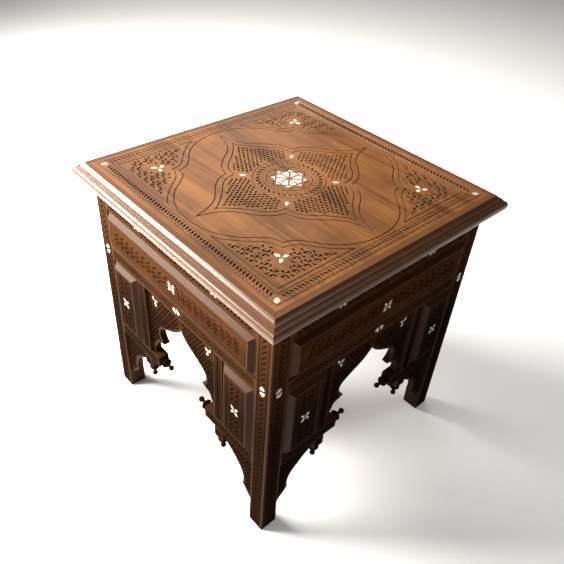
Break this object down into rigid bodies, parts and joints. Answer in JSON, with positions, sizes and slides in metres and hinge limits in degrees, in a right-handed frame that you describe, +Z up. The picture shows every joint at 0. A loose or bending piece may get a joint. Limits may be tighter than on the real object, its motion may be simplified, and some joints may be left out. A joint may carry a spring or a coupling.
{
  "type": "carved inlaid side table",
  "caption": "Square carved walnut side table with shell inlay: moulded top, panelled faces with pointed arches, brackets and turned finials.",
  "frame": {"origin": "middle of the footprint, on the floor plane under the legs", "axes": "+Z up through the middle of the top; -Y is the front face, +X the right-hand face"},
  "size_m": [0.495, 0.495, 0.5],
  "materials": {
    "polished_walnut": "lacquered satin gloss, grain along one direction",
    "carved_walnut": "stained darker in the carving, satin",
    "bare_softwood": "bare, matt",
    "screw_steel": "dull zinc",
    "shell": "polished mother-of-pearl"
  },
  "bodies": {
    "root": {"top_board": "polished_walnut", "moulding_front": "polished_walnut", "moulding_right": "polished_walnut", "moulding_back": "polished_walnut", "moulding_left": "polished_walnut", "leg_front_right": "carved_walnut", "leg_back_right": "carved_walnut", "leg_back_left": "carved_walnut", "leg_front_left": "carved_walnut", "frieze_rail_front": "carved_walnut", "frieze_rail_right": "carved_walnut", "frieze_rail_back": "carved_walnut", "frieze_rail_left": "carved_walnut", "long_panel_front": "carved_walnut", "long_panel_right": "carved_walnut", "long_panel_back": "carved_walnut", "long_panel_left": "carved_walnut", "middle_rail_front": "carved_walnut", "middle_rail_right": "carved_walnut", "middle_rail_back": "carved_walnut", "middle_rail_left": "carved_walnut", "arch_board_front": "carved_walnut", "arch_board_right": "carved_walnut", "arch_board_back": "carved_walnut", "arch_board_left": "carved_walnut", "post_pair_front": "carved_walnut", "post_pair_right": "carved_walnut", "post_pair_back": "carved_walnut", "post_pair_left": "carved_walnut", "small_panels_front": "carved_walnut", "small_panels_right": "carved_walnut", "small_panels_back": "carved_walnut", "small_panels_left": "carved_walnut", "lower_rail_front_l": "carved_walnut", "lower_rail_front_r": "carved_walnut", "lower_rail_right_l": "carved_walnut", "lower_rail_right_r": "carved_walnut", "lower_rail_back_l": "carved_walnut", "lower_rail_back_r": "carved_walnut", "lower_rail_left_l": "carved_walnut", "lower_rail_left_r": "carved_walnut", "bracket_front_l": "carved_walnut", "bracket_front_r": "carved_walnut", "bracket_right_l": "carved_walnut", "bracket_right_r": "carved_walnut", "bracket_back_l": "carved_walnut", "bracket_back_r": "carved_walnut", "bracket_left_l": "carved_walnut", "bracket_left_r": "carved_walnut", "side_finials": "carved_walnut", "drop_finials": "carved_walnut", "corner_blocks": "bare_softwood", "block_screws": "screw_steel", "star_inlay": "shell", "top_petal_inlay": "shell", "frieze_inlay": "shell", "panel_inlay": "shell", "spandrel_inlay": "shell", "oval_inlay": "shell"}
  },
  "joints": []
}
